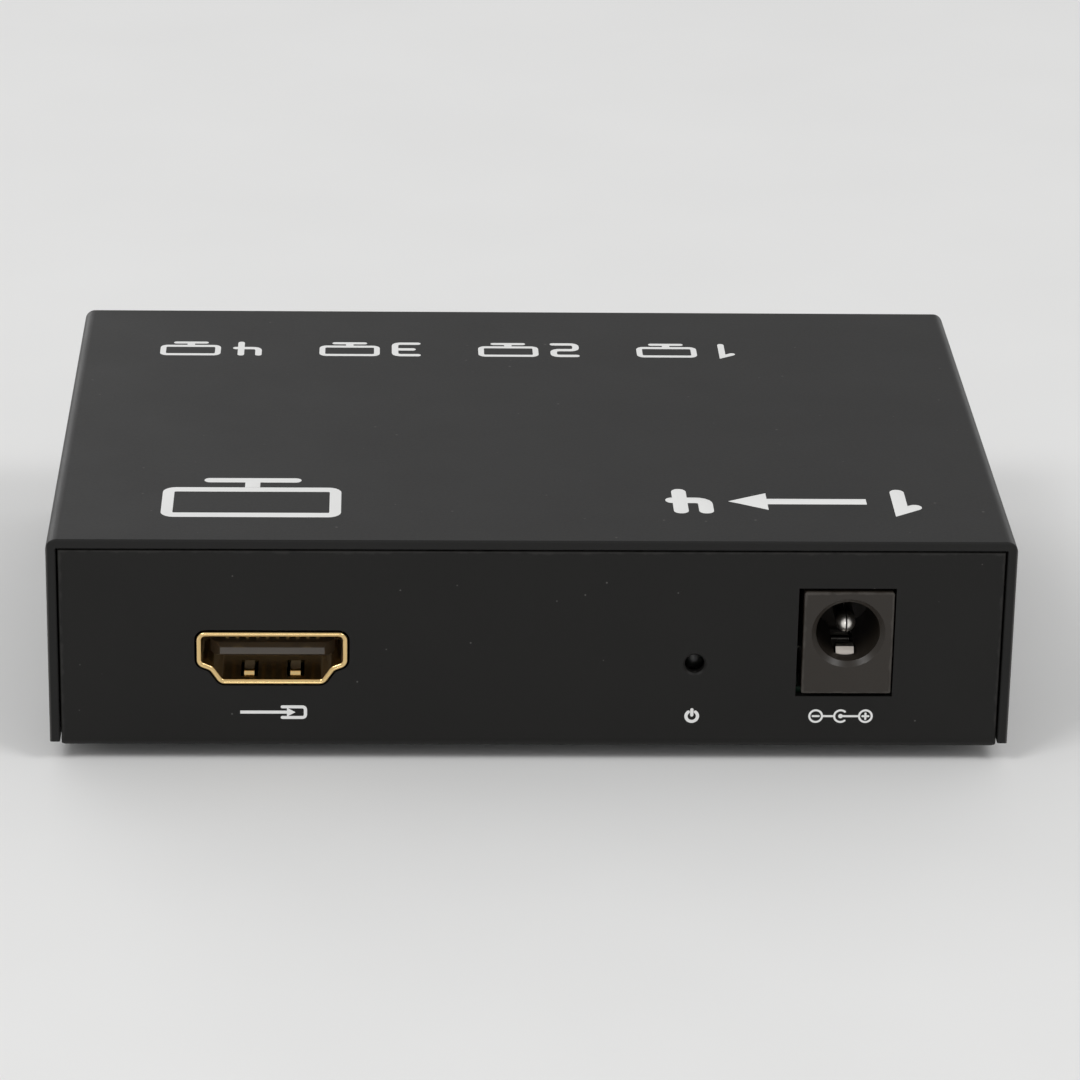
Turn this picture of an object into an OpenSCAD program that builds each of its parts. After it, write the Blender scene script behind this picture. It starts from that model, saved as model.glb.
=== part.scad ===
// Video splitter box: one input socket, a lamp and a power jack in front, a row of output sockets behind.
// Millimetres. The front faces -Y, the rear +Y and Z is up.
// The origin is on the floor under the middle of the case.

/* [Case] */
// Width over the cover's two sides
case_w = 96; // [92:1:120]
// Depth from the cover's front edge to its rear edge
case_d = 68; // [66:1:90]
// Height from the tray's underside to the top of the cover
case_h = 22.5; // [20:0.5:32]
// Thickness of the sheet with its coat
sheet_t = 1; // [0.8:0.1:1.2]
// Inside radius of the folds
fold_r = 0.1; // [0.1:0.1:0.6]
// Rounding of the sheet's cut edges
edge_r = 0.2; // [0.1:0.05:0.3]
// How far the panels stand behind the cover's edges
panel_set_back = 0.2; // [0:0.1:0.6]
// Length of the ears folded up from the tray's floor
ear_l = 9; // [8:0.5:12]
// Height at which the cover's sides end above the tray's underside
side_lift = 0.7; // [0.2:0.1:1.2]

/* [Fits] */
// Gap between the cover and the tray that slides into it
seam_gap = 0.15; // [0.1:0.05:0.25]
// Gap round a video socket in its panel
socket_gap = 0.2; // [0.15:0.05:0.5]
// Gap round the power jack in its panel
jack_gap = 0.35; // [0.2:0.05:0.5]
// Gap round a leg or lead in the board
hole_gap = 0.2; // [0.1:0.05:0.25]
// Gap between pieces that are fixed in one another
slip_gap = 0.05; // [0.03:0.01:0.08]

/* [Feet and fasteners] */
// Diameter of a rubber foot
foot_d = 8; // [6:0.5:10]
// Height of a rubber foot
foot_h = 1.5; // [1:0.1:3]
// Thread diameter of all the screws
screw_d = 2.5; // [2:0.5:2.5]
// Length of a cover screw
cover_screw_l = 5; // [4:0.5:6]
// Width of a standoff across its flats
standoff_w = 5; // [4.5:0.5:5.5]

/* [Board] */
// Thickness of the circuit board
board_t = 1.6; // [1.2:0.2:2]
// Height of the board above the tray's floor
standoff_h = 3.5; // [2.5:0.5:4.5]
// Distance of the standoffs from the middle, front to rear
standoff_y = 16; // [14.5:0.5:16]

/* [Video sockets] */
// Place of the input socket left or right of the middle
input_x = -25.8; // [-32:0.1:-20]
// Distance between the output sockets
output_pitch = 22; // [20:0.5:22.5]
// Width of a socket's opening
opening_w = 14; // [13.9:0.05:14.2]
// Height of a socket's opening
opening_h = 4.6; // [4.5:0.05:4.8]
// Height of a socket's middle above the board
socket_lift = 3.7; // [3.6:0.1:4.2]
// Thickness of the shell's metal
shell_t = 0.3; // [0.25:0.05:0.35]
// Thickness of the shell's lip, seen from in front
lip_t = 0.5; // [0.4:0.05:0.7]
// Length of the shell from its lip to its rear end
shell_l = 11; // [10.5:0.25:12]
// Distance from the lip to the tip of the tongue
tongue_set_back = 1.3; // [0.9:0.1:1.6]

/* [Power jack and lamp] */
// Place of the jack left or right of the middle
jack_x = 31.5; // [28:0.5:33]
// Width of the jack
jack_w = 9; // [8.8:0.1:9.4]
// Height of the jack
jack_h = 11; // [10.6:0.1:11.6]
// Height of the jack's bore above the board
jack_axis = 6.6; // [6.4:0.1:6.8]
// Diameter of the jack's bore
bore_d = 6.4; // [6.2:0.1:6.6]
// Diameter of the jack's centre pin
pin_d = 2; // [1.6:0.1:2.5]
// Distance from the jack's face to the tip of its pin
pin_set_back = 2; // [1.5:0.1:3]
// Place of the lamp left or right of the middle
lamp_x = 16.3; // [10:0.1:20]
// Diameter of the hole in front of the lamp
lamp_hole_d = 2; // [1.6:0.1:2.6]

/* [Hidden] */
$fn = 48;

// the sheet metal
bend_r = fold_r + sheet_t;
top_z = foot_h + case_h;
tray_half = case_w / 2 - sheet_t - seam_gap;
ear_in = tray_half - sheet_t;
panel_out = case_d / 2 - panel_set_back;
panel_in = panel_out - sheet_t;
panel_top = top_z - sheet_t - seam_gap;
side_z = foot_h + side_lift;
corner_relief = 0.5;
corner_cut = [0.5, 0.4];
ear_end = panel_in - corner_relief;
ear_start = ear_end - ear_l;

// the cover's screws, their cones and the bosses that they turn into
boss_l = 2;
boss_d = screw_d + 2.5;
boss_y = ear_end - ear_l / 2;
boss_z = foot_h + 0.6 * case_h;
ear_top = boss_z + boss_d;
screw_hole_d = screw_d + 4 * slip_gap;
cone_d = screw_hole_d + 2 * sheet_t;
cross_w = 0.5;
cross_depth = 0.8;

// the feet, the board and its standoffs
foot_x = case_w / 2 - 8;
foot_y = case_d / 2 - 8;
board_half_w = ear_in - 0.85;
board_half_d = panel_in - 0.6;
board_z = foot_h + sheet_t + standoff_h;
board_top = board_z + board_t;
standoff_x = board_half_w - 4.5;
spigot_d = screw_d + 1.2;
pan_d = 1.8 * screw_d;
pan_h = 0.7 * screw_d;
board_screw_l = board_t + standoff_h - 0.2;

// a video socket, seen from its mouth: its middle is at 0,0 and its depth runs along +Y
corner_r = 0.4;
arc_step = 10;
core_x = opening_w / 2 - corner_r;
core_z = opening_h / 2 - corner_r;
core_half = [[core_x, core_z], [core_x, -0.2], [core_x - 1, -0.6], [core_x - 1.9, -core_z]];
core_back = [for (i = [len(core_half) - 1 : -1 : 0]) [-core_half[i][0], core_half[i][1]]];
core = concat(core_half, core_back);
socket_z = board_top + socket_lift;
outputs = 4;
output_x = [for (x = row(outputs, output_pitch)) -x];
lip_l = 0.8;
leg_w = 1;
leg_l = socket_lift + board_t + 0.5;
leg_x = (opening_w + shell_t) / 2;
leg_y = [3.1, 8.9];
tab_w = 1;
tab_y = 1;
tab_l = 4;
tab_slot = 0.35;
tab_bulge = 0.4;
tab_bulge_r = 4;
upper_tab_x = 3.4;
lower_tab_x = 2.3;
tongue_w = 12.4;
tongue_t = 1.4;
tongue_z = 0.3;
tongue_chamfer = 1;
tongue_chamfer_l = 1.6;
tongue_bevel = 0.35;
tongue_bevel_l = 0.6;
block_y = 7.6;
tail_y = shell_l + slip_gap;
tail_l = 1.6;
tail_w = opening_w - 0.4;
contact_w = 0.3;
contact_t = 0.2;
contact_pitch = 1;
contact_y = tongue_set_back + tongue_chamfer_l;
contact_back = tail_y + tail_l + slip_gap + contact_t;
contact_foot = contact_back + 0.8;
upper_contacts = 10;
lower_contacts = 9;

// the power jack, with its face at y = 0 and the board at z = 0
jack_l = 14.2;
flange_l = 3.5;
jack_shift = 0.55 * jack_gap;
flange_r = 0.35;
face_r = 0.25;
bore_depth = 10;
pin_split_w = 0.16;
pin_split_l = 4;
root_d = pin_d + 0.6;
rim = 0.5;
leaf_w = 1.8;
leaf_t = 0.3;
leaf_gap = 0.2;
window_w = leaf_w + 2 * leaf_gap;
window_y = [2.1, 10];
hinge_y = 8.6;
hinge_z = 2.3;
curl_r = 0.5;
plug_d = 5.5;
press = 0.25;
bump_y = 3.6;
bump_z = jack_axis - plug_d / 2 + press - leaf_t / 2;
leaf_bump = [[0.6, -0.5], [0.35, -0.12], [0.1, 0], [-0.2, 0], [-0.55, -0.15], [-0.8, -0.45], [-1.05, -0.95]];
leaf_arm = [[hinge_y - curl_r / 2, hinge_z], [5, hinge_z]];
leaf_line = concat(leaf_arm, [for (p = leaf_bump) [bump_y, bump_z] + p]);
arm_y = [5.6, 7.4];
arm_z = hinge_z + leaf_t / 2 + slip_gap;
arm_t = 0.3;
blade_t = 0.4;
blade_w = 2.2;
blade_end = -board_t - 1;
sleeve_y = hinge_y + 0.45;
saddle_z = hinge_z + 0.7;
saddle_l = 0.75;

// the lamp, seen along its axis
lamp_d = 3;
lamp_l = 5.3;
lamp_flange_d = 3.8;
lamp_flange_l = 1;
lamp_lift = 3.1;
lamp_tip = -panel_in + 0.2;
lead_w = 0.5;
lead_pitch = 2.54;
lead_back = 2;

// the pieces on the board
chip_w = 14;
chip_h = 1.4;
chip_lift = 0.1;
chip_at = [0, 1];
chip_pins = 16;
chip_pitch = 0.8;
pin_w = 0.35;
pin_t = 0.15;
pin_reach = 1;
pad_h = 0.5;
sink_h = 6;
sink_base = 1.5;
sink_fins = 6;
sink_fin_t = 1;
memory_at = [-16, 5];
memory_size = [4.9, 3.9, 1.5];
memory_pitch = 1.27;
regulator_at = [24, -9];
regulator_size = [6.5, 3.5, 1.6];
regulator_pitch = 2.3;
tab_plate_w = 3;
inductor_at = [14.5, -9.5];
inductor_w = 6;
inductor_h = 3;
can_at = [[32.5, -10], [32.5, 1], [-30, -9]];
can_d = 6.3;
can_h = 5.8;
base_w = 6.6;
base_h = 0.8;
crystal_at = [-16, -6];
crystal_size = [11.4, 4.7, 3.8];
resistor_size = [0.8, 1.6, 0.5];
resistor_pitch = 1.3;
resistor_row = [-2 : 2];
row_gap = 0.5;
row_end = max(output_x) + 2 * resistor_pitch + resistor_size[0] / 2;
beside_screws = row_end + row_gap < standoff_x - pan_d / 2;
resistor_y = standoff_y - (beside_screws ? 2 : (pan_d + resistor_size[1]) / 2 + row_gap);
input_resistor_y = -15;
capacitor_size = [2, 1.25, 0.9];
capacitor_gap = 3.4;
capacitor_rows = [-10, 11.6];
capacitor_x = 10.6;

// A row of places with a given distance, centred on 0
function row(count, pitch) = [for (i = [0 : count - 1]) (i - (count - 1) / 2) * pitch];

// A unit step from one point to the next, turned a quarter to the left
function left_of(a, b) = let (d = b - a) [-d[1], d[0]] / norm(d);

// The angle from one direction to the next, below 0 for a turn to the right
function turn(n, m) = atan2(n[0] * m[1] - n[1] * m[0], n * m);

// A corner moved outwards by r between its sides' directions n and m: an arc in short steps,
// or the one point where the moved sides cross if the corner points inwards
function moved_corner(p, n, m, r) =
  let (a = turn(n, m), start = atan2(n[1], n[0]), steps = ceil(abs(a) / arc_step))
  a > 0
    ? [p + r * (n + m) / (1 + n * m)]
    : [for (i = [0 : steps]) p + r * [cos(start + a * i / steps), sin(start + a * i / steps)]];

// A closed clockwise line of points moved outwards by r
function grown(points, r) =
  let (count = len(points))
  [for (i = [0 : count - 1])
    let (before = points[(i + count - 1) % count], p = points[i], after = points[(i + 1) % count])
    each moved_corner(p, left_of(before, p), left_of(p, after), r)];

// Copies to the four places made by the signs of x and y
module four(x, y) {
  for (i = [-1, 1], j = [-1, 1]) translate([i * x, j * y, 0]) children();
}

// Both sides of the middle plane, left and right
module left_and_right() {
  for (i = [0, 1]) mirror([i, 0, 0]) children();
}

// Both ends of the case, front and rear
module front_and_rear() {
  for (i = [0, 1]) mirror([0, i, 0]) children();
}

// An open line of points thickened to t
module thick_line(points, t) {
  last = len(points) - 1;
  sides = [for (i = [0 : last - 1]) left_of(points[i], points[i + 1])];
  before = [for (i = [0 : last]) sides[max(i - 1, 0)]];
  after = [for (i = [0 : last]) sides[min(i, last - 1)]];
  out = [for (i = [0 : last]) (before[i] + after[i]) / (1 + before[i] * after[i])];
  polygon(concat(
    [for (i = [0 : last]) points[i] + out[i] * t / 2],
    [for (i = [last : -1 : 0]) points[i] - out[i] * t / 2]
  ));
}

// A rectangle with round corners, centred on 0
module rounded_square(size, r) {
  square([size[0] - 2 * r, size[1]], center = true);
  square([size[0], size[1] - 2 * r], center = true);
  for (i = [-1, 1], j = [-1, 1]) translate([i * (size[0] / 2 - r), j * (size[1] / 2 - r)]) circle(r);
}

// The same with each round corner in short steps, for outlines that cut one another
module soft_rectangle(w, h, r) {
  x = w / 2 - r;
  y = h / 2 - r;
  polygon(grown([[x, y], [x, -y], [-x, -y], [-x, y]], r));
}

// Half of a round piece cut through its axis: its underside at 0, its upper edge bevelled
module bevelled_half(d, h, bevel) {
  polygon([[0, 0], [d / 2, 0], [d / 2, h - bevel], [d / 2 - bevel, h], [0, h]]);
}

// An outline drawn in y and z, carried along x with its middle at x = 0
module across(w) {
  translate([-w / 2, 0, 0]) rotate([90, 0, 90]) linear_extrude(w) children();
}

// An outline drawn in x and z, carried along +y
module inward(l) {
  mirror([0, 1, 0]) rotate([90, 0, 0]) linear_extrude(l) children();
}

// The cover's sheet cut across: its thickness in x, its depth in y, both cut edges rounded
module cover_band() {
  translate([sheet_t / 2, 0]) rounded_square([sheet_t, case_d], edge_r);
}

// A panel's sheet cut across: its thickness in x, its height in y, the upper edge rounded
module panel_strip(low, high) {
  translate([0, low]) square([sheet_t, high - low - edge_r]);
  translate([edge_r, low]) square([sheet_t - 2 * edge_r, high - low]);
  for (x = [edge_r, sheet_t - edge_r]) translate([x, high - edge_r]) circle(edge_r);
}

// A countersunk hole along -x from the cover's outer face
module screw_hole() {
  translate([case_w / 2, boss_y, boss_z]) rotate([0, -90, 0]) {
    translate([0, 0, -1]) cylinder(d = screw_hole_d, h = sheet_t + 2);
    cylinder(d1 = cone_d, d2 = screw_hole_d, h = sheet_t);
  }
}

module top_cover() {
  color([0.05, 0.05, 0.05]) difference() {
    union() {
      flat = case_w - 2 * bend_r;
      translate([-flat / 2, 0, top_z]) rotate([0, 90, 0]) linear_extrude(flat) cover_band();
      left_and_right() {
        translate([case_w / 2 - bend_r, 0, top_z - bend_r]) rotate([90, 0, 0])
          rotate_extrude(angle = 90) translate([fold_r, 0]) cover_band();
        translate([case_w / 2 - sheet_t, 0, side_z]) linear_extrude(top_z - bend_r - side_z) cover_band();
      }
    }
    left_and_right() front_and_rear() screw_hole();
  }
}

// A socket's opening in x and z, grown by a given width
module socket_outline(grow) {
  polygon(grown(core, corner_r + grow));
}

// Each video socket stands at its own place with its mouth in the plane of the cover's edge
module at_input() {
  translate([input_x, -case_d / 2, socket_z]) children();
}

module at_output(i) {
  translate([output_x[i], case_d / 2, socket_z]) rotate([0, 0, 180]) children();
}

module at_jack() {
  translate([jack_x, -case_d / 2, board_top]) children();
}

// The rear panel, its edges rounded, and the fold below it
module panel() {
  w = 2 * tray_half;
  intersection() {
    translate([0, panel_in, 0]) across(w) panel_strip(foot_h + bend_r, panel_top);
    translate([0, (panel_in + panel_out) / 2, 0]) linear_extrude(top_z) soft_rectangle(w, sheet_t, edge_r);
  }
  translate([-tray_half, panel_out - bend_r, foot_h + bend_r]) rotate([0, 90, 0])
    rotate_extrude(angle = 90) translate([fold_r, 0]) square([sheet_t, w]);
}

// The ear at the right of the rear: the fold at the floor's side, the upright and the screw's boss
module ear() {
  translate([tray_half - bend_r, ear_start, foot_h + bend_r]) rotate([-90, 0, 0])
    rotate_extrude(angle = 90) translate([fold_r, 0]) square([sheet_t, ear_l]);
  translate([ear_in, ear_end, 0]) rotate([90, 0, 0])
    linear_extrude(ear_l) panel_strip(foot_h + bend_r, ear_top);
  translate([ear_in - boss_l, boss_y, boss_z]) rotate([0, 90, 0]) cylinder(d = boss_d, h = boss_l);
}

// What a slanting cut takes off the panel's lower right corner
module corner_cutter() {
  x = tray_half;
  cut = corner_cut;
  translate([0, panel_in - bend_r, 0]) inward(sheet_t + 2 * bend_r) polygon([
    [x - cut[0], foot_h], [x + cut[0], foot_h + 2 * cut[1]],
    [x + cut[0], foot_h - cut[1]], [x - cut[0], foot_h - cut[1]]
  ]);
}

// The openings of the front panel
module front_cutouts() {
  at_input() inward(4) socket_outline(lip_t + socket_gap);
  at_jack() translate([-jack_shift, 0, jack_h / 2]) inward(4)
    square([jack_w + 2 * jack_gap, jack_h + 2 * jack_gap], center = true);
  translate([lamp_x, -panel_out, board_top + lamp_lift]) rotate([-90, 0, 0]) {
    translate([0, 0, -1]) cylinder(d = lamp_hole_d, h = sheet_t + 2);
    translate([0, 0, -0.01]) cylinder(d1 = lamp_hole_d + 0.4, d2 = lamp_hole_d, h = 0.2);
  }
}

module base_tray() {
  color([0.06, 0.06, 0.06]) difference() {
    union() {
      inner = tray_half - bend_r;
      side_l = ear_start - corner_relief;
      translate([-inner, bend_r - panel_out, foot_h]) cube([2 * inner, 2 * (panel_out - bend_r), sheet_t]);
      translate([-tray_half, -side_l, foot_h]) cube([2 * tray_half, 2 * side_l, sheet_t]);
      front_and_rear() panel();
      left_and_right() front_and_rear() ear();
    }
    left_and_right() front_and_rear() corner_cutter();
    front_cutouts();
    for (i = [0 : outputs - 1]) at_output(i) inward(4) socket_outline(lip_t + socket_gap);
    four(standoff_x, standoff_y) translate([0, 0, foot_h - 1])
      cylinder(d = spigot_d + 2 * slip_gap, h = sheet_t + 2);
    left_and_right() front_and_rear() translate([ear_in - boss_l - 1, boss_y, boss_z]) rotate([0, 90, 0])
      cylinder(d = screw_d + 2 * slip_gap, h = boss_l + sheet_t + 2);
  }
}

// A cross-shaped recess cut downwards from z = 0
module cross_recess(size) {
  for (a = [0, 90]) rotate([0, 0, a]) translate([-size / 2, -cross_w / 2, -cross_depth])
    cube([size, cross_w, cross_depth + 1]);
}

module cover_screws() {
  color([0.08, 0.08, 0.09]) left_and_right() front_and_rear()
    translate([case_w / 2 - slip_gap, boss_y, boss_z]) rotate([0, 90, 0]) difference() {
      union() {
        translate([0, 0, -cover_screw_l]) cylinder(d = screw_d, h = cover_screw_l);
        translate([0, 0, -sheet_t]) cylinder(d1 = screw_d, d2 = cone_d - 4 * slip_gap, h = sheet_t);
      }
      cross_recess(0.6 * cone_d);
    }
}

module rubber_feet() {
  color([0.1, 0.1, 0.1]) four(foot_x, foot_y) translate([0, 0, foot_h]) mirror([0, 0, 1])
    rotate_extrude() bevelled_half(foot_d, foot_h, 0.4);
}

// The board's slots for one video socket's legs
module leg_slots() {
  for (i = [-1, 1], y = leg_y) translate([i * leg_x, y, -socket_lift - board_t / 2])
    cube([shell_t + 2 * hole_gap, leg_w + 2 * hole_gap, board_t + 2], center = true);
}

// The board's slots for the jack's three blades
module blade_slots() {
  for (y = [jack_l + slip_gap, sleeve_y]) translate([0, y + blade_t / 2, -board_t / 2])
    cube([blade_w + 2 * hole_gap, blade_t + 2 * hole_gap, board_t + 2], center = true);
  translate([-jack_w / 2 - slip_gap - blade_t / 2, (arm_y[0] + arm_y[1]) / 2, -board_t / 2])
    cube([blade_t + 2 * hole_gap, arm_y[1] - arm_y[0] + 2 * hole_gap, board_t + 2], center = true);
}

module main_board() {
  color([0.05, 0.25, 0.12]) difference() {
    translate([-board_half_w, -board_half_d, board_z]) cube([2 * board_half_w, 2 * board_half_d, board_t]);
    four(standoff_x, standoff_y) translate([0, 0, board_z - 1]) cylinder(d = screw_hole_d, h = board_t + 2);
    at_input() leg_slots();
    for (i = [0 : outputs - 1]) at_output(i) leg_slots();
    at_jack() blade_slots();
    translate([lamp_x, lamp_tip + lamp_l + lead_back, board_z - 1]) for (x = row(2, lead_pitch))
      translate([x, 0, 0]) cylinder(d = 1.4 * lead_w + 2 * hole_gap, h = board_t + 2);
  }
}

module board_standoffs() {
  color([0.75, 0.65, 0.4]) four(standoff_x, standoff_y) difference() {
    union() {
      translate([0, 0, foot_h + sheet_t]) cylinder(d = standoff_w / cos(30), h = standoff_h, $fn = 6);
      translate([0, 0, foot_h]) cylinder(d = spigot_d, h = sheet_t);
    }
    translate([0, 0, foot_h - 1]) cylinder(d = screw_d + 2 * slip_gap, h = standoff_h + sheet_t + 2);
  }
}

module board_screws() {
  color([0.6, 0.6, 0.62]) four(standoff_x, standoff_y) translate([0, 0, board_top]) difference() {
    union() {
      translate([0, 0, -board_screw_l]) cylinder(d = screw_d, h = board_screw_l);
      rotate_extrude() bevelled_half(pan_d, pan_h, 0.5);
    }
    translate([0, 0, pan_h]) cross_recess(0.6 * pan_d);
  }
}

// The slot round three sides of a spring tab, from the mouth side inwards
module tab_slots(x, z) {
  for (i = [-1, 1]) translate([i * x, 0, 0]) {
    for (j = [-1, 1]) translate([j * (tab_w + tab_slot) / 2 - tab_slot / 2, tab_y, z - 0.5])
      cube([tab_slot, tab_l, 1]);
    translate([-tab_w / 2 - tab_slot, tab_y + tab_l - tab_slot, z - 0.5])
      cube([tab_w + 2 * tab_slot, tab_slot, 1]);
  }
}

// A spring tab's bulge towards the tongue, on the upper wall: a slice of a lying cylinder
module tab_bulges(x) {
  l = tab_l - tab_slot;
  for (i = [-1, 1]) intersection() {
    translate([i * x - tab_w / 2, tab_y + l / 2, opening_h / 2 - tab_bulge + tab_bulge_r])
      rotate([0, 90, 0]) cylinder(r = tab_bulge_r, h = tab_w);
    translate([i * x - tab_w, tab_y, opening_h / 2 - 1]) cube([2 * tab_w, l, 1 + shell_t / 2]);
  }
}

// The plated shell: lip, tube, legs through the board and spring tabs above and below
module socket_shell() {
  color([0.85, 0.65, 0.3]) {
    difference() {
      union() {
        inward(shell_l) socket_outline(shell_t);
        inward(lip_l) socket_outline(lip_t);
        for (i = [-1, 1], y = leg_y) translate([i * leg_x - shell_t / 2, y - leg_w / 2, -leg_l])
          cube([shell_t, leg_w, leg_l]);
      }
      translate([0, -1, 0]) inward(shell_l + 2) socket_outline(0);
      tab_slots(upper_tab_x, opening_h / 2);
      tab_slots(lower_tab_x, -opening_h / 2);
    }
    tab_bulges(upper_tab_x);
    mirror([0, 0, 1]) tab_bulges(lower_tab_x);
  }
}

// One contact from the side: along the tongue, down behind the block and out to its foot on the board
module contact_line(z, gap) {
  t = contact_t / 2 + gap;
  y = contact_back + gap;
  low = -socket_lift;
  in_y = contact_back - contact_t - gap;
  polygon([
    [contact_y - gap, z + t], [y, z + t], [y, low + contact_t], [contact_foot, low + contact_t],
    [contact_foot, low], [in_y, low], [in_y, z - t], [contact_y - gap, z - t]
  ]);
}

// All the contacts of a socket, each grown by a given gap
module contact_rows(gap) {
  for (x = row(upper_contacts, contact_pitch)) translate([x, 0, 0])
    across(contact_w + 2 * gap) contact_line(tongue_z + tongue_t / 2, gap);
  for (x = row(lower_contacts, contact_pitch)) translate([x, 0, 0])
    across(contact_w + 2 * gap) contact_line(tongue_z - tongue_t / 2, gap);
}

module socket_contacts() {
  color([0.9, 0.75, 0.4]) contact_rows(0);
}

// The black block: a plug inside the shell, the tongue in front of it and the tail behind
module socket_insulator() {
  half = tongue_w / 2;
  tip = tongue_set_back;
  cut = tongue_chamfer;
  cut_l = tongue_chamfer_l;
  thick = tongue_t / 2;
  nose = thick - tongue_bevel;
  nose_y = tip + tongue_bevel_l;
  color([0.08, 0.08, 0.08]) difference() {
    union() {
      translate([0, 0, tongue_z]) intersection() {
        linear_extrude(tongue_t, center = true) polygon([
          [-half, block_y], [-half, tip + cut_l], [cut - half, tip],
          [half - cut, tip], [half, tip + cut_l], [half, block_y]
        ]);
        across(tongue_w) polygon([
          [tip, -nose], [tip, nose], [nose_y, thick], [block_y, thick], [block_y, -thick], [nose_y, -thick]
        ]);
      }
      translate([0, block_y, 0]) inward(tail_y - block_y) socket_outline(-slip_gap);
      translate([-tail_w / 2, tail_y, -socket_lift]) cube([tail_w, tail_l, socket_lift + opening_h / 2]);
    }
    contact_rows(slip_gap / 2);
  }
}

module input_socket_shell() {
  at_input() socket_shell();
}

module input_socket_insulator() {
  at_input() socket_insulator();
}

module input_socket_contacts() {
  at_input() socket_contacts();
}

// The leaf's window below the bore, the slot of the switch arm and the bore with its chamfered rim
module jack_hollows() {
  translate([0, -1, jack_axis]) rotate([-90, 0, 0]) cylinder(d = bore_d, h = bore_depth + 1);
  translate([0, -0.01, jack_axis]) rotate([-90, 0, 0]) cylinder(d1 = bore_d + 2 * rim, d2 = bore_d, h = rim);
  translate([-window_w / 2, window_y[0], -1]) cube([window_w, window_y[1] - window_y[0], jack_axis + 1]);
  translate([-jack_w, arm_y[0] - slip_gap, arm_z - slip_gap])
    cube([jack_w, arm_y[1] - arm_y[0] + 2 * slip_gap, arm_t + 2 * slip_gap]);
  translate([0, 0, jack_axis]) rotate([-90, 0, 0]) cylinder(d = root_d + 2 * slip_gap, h = jack_l + 1);
}

// The jack's front block, with its face's edges rounded
module jack_flange() {
  intersection() {
    translate([0, 0, jack_h / 2]) inward(flange_l) soft_rectangle(jack_w, jack_h, flange_r);
    translate([0, flange_l, jack_h / 2]) across(jack_w) soft_rectangle(2 * flange_l, jack_h, face_r);
    translate([0, flange_l, 0]) linear_extrude(jack_h) soft_rectangle(jack_w, 2 * flange_l, face_r);
  }
}

module jack_body() {
  color([0.07, 0.065, 0.06]) at_jack() difference() {
    union() {
      jack_flange();
      translate([-jack_w / 2 + 0.1, flange_l, 0]) cube([jack_w - 0.2, jack_l - flange_l, jack_axis]);
      translate([0, flange_l, jack_axis]) rotate([-90, 0, 0])
        cylinder(d = jack_w - 0.4, h = jack_l - flange_l);
    }
    jack_hollows();
  }
}

// The centre pin with its split round tip and thicker root, and the blade behind it
module jack_pin() {
  tip_y = pin_set_back + pin_d / 2;
  color([0.85, 0.84, 0.8]) at_jack() {
    difference() {
      translate([0, 0, jack_axis]) rotate([-90, 0, 0]) {
        translate([0, 0, tip_y]) sphere(d = pin_d);
        translate([0, 0, tip_y]) cylinder(d = pin_d, h = bore_depth - tip_y);
        translate([0, 0, bore_depth]) cylinder(d = root_d, h = jack_l + slip_gap - bore_depth);
      }
      translate([-pin_split_w / 2, pin_set_back - 1, jack_axis - pin_d])
        cube([pin_split_w, pin_split_l + 1, 2 * pin_d]);
    }
    translate([-blade_w / 2, jack_l + slip_gap, blade_end])
      cube([blade_w, blade_t, jack_axis + 1.5 - blade_end]);
  }
}

// The spring leaf: a curl round its hinge line, an arm and a bump that presses on the plug's sleeve
module jack_leaf() {
  color([0.85, 0.8, 0.65]) at_jack() {
    across(leaf_w) thick_line(leaf_line, leaf_t);
    translate([-leaf_w / 2, hinge_y, hinge_z]) rotate([0, 90, 0]) cylinder(r = curl_r, h = leaf_w);
  }
}

// The sleeve terminal: a blade through the board with a saddle behind the leaf's curl
module jack_sleeve_terminal() {
  color([0.8, 0.78, 0.7]) at_jack() difference() {
    union() {
      translate([-blade_w / 2, sleeve_y, blade_end]) cube([blade_w, blade_t, saddle_z - blade_end]);
      translate([-blade_w / 2, sleeve_y + blade_t - saddle_l, 0.2]) cube([blade_w, saddle_l, saddle_z - 0.2]);
    }
    translate([-leaf_w, hinge_y, hinge_z]) rotate([0, 90, 0]) cylinder(r = curl_r + slip_gap, h = 2 * leaf_w);
  }
}

// The switch contact: a blade beside the body with an arm that the leaf rests under
module jack_switch_contact() {
  side = -jack_w / 2 - slip_gap;
  arm_end = -leaf_w / 2 + 0.6;
  color([0.8, 0.78, 0.7]) at_jack() {
    translate([side - blade_t, arm_y[0], blade_end])
      cube([blade_t, arm_y[1] - arm_y[0], arm_z + arm_t - blade_end]);
    translate([side, arm_y[0], arm_z]) cube([arm_end - side, arm_y[1] - arm_y[0], arm_t]);
  }
}

module lamp_lens() {
  r = lamp_d / 2;
  color([0.9, 0.9, 0.85]) translate([lamp_x, lamp_tip, board_top + lamp_lift]) rotate([-90, 0, 0]) {
    translate([0, 0, r]) sphere(r);
    translate([0, 0, r]) cylinder(r = r, h = lamp_l - r);
    translate([0, 0, lamp_l - lamp_flange_l]) cylinder(d = lamp_flange_d, h = lamp_flange_l);
  }
}

module lamp_leads() {
  back = lamp_tip + lamp_l;
  low = -lamp_lift - board_t - 1;
  color([0.75, 0.75, 0.75]) translate([lamp_x, back, board_top + lamp_lift])
    for (x = row(2, lead_pitch)) translate([x - lead_w / 2, 0, 0]) {
      translate([0, 0, -lead_w / 2]) cube([lead_w, lead_back + lead_w / 2, lead_w]);
      translate([0, lead_back - lead_w / 2, low]) cube([lead_w, lead_w, lead_w / 2 - low]);
    }
}

// A bent lead from the side: out of the body at half its height, then down and out on the board
module gull_wing(start, reach, height, w) {
  knee = start + 0.45 * reach;
  across(w) polygon([
    [start, height + pin_t], [knee, height + pin_t], [knee, pin_t], [start + reach, pin_t],
    [start + reach, 0], [knee - pin_t, 0], [knee - pin_t, height], [start, height]
  ]);
}

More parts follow.
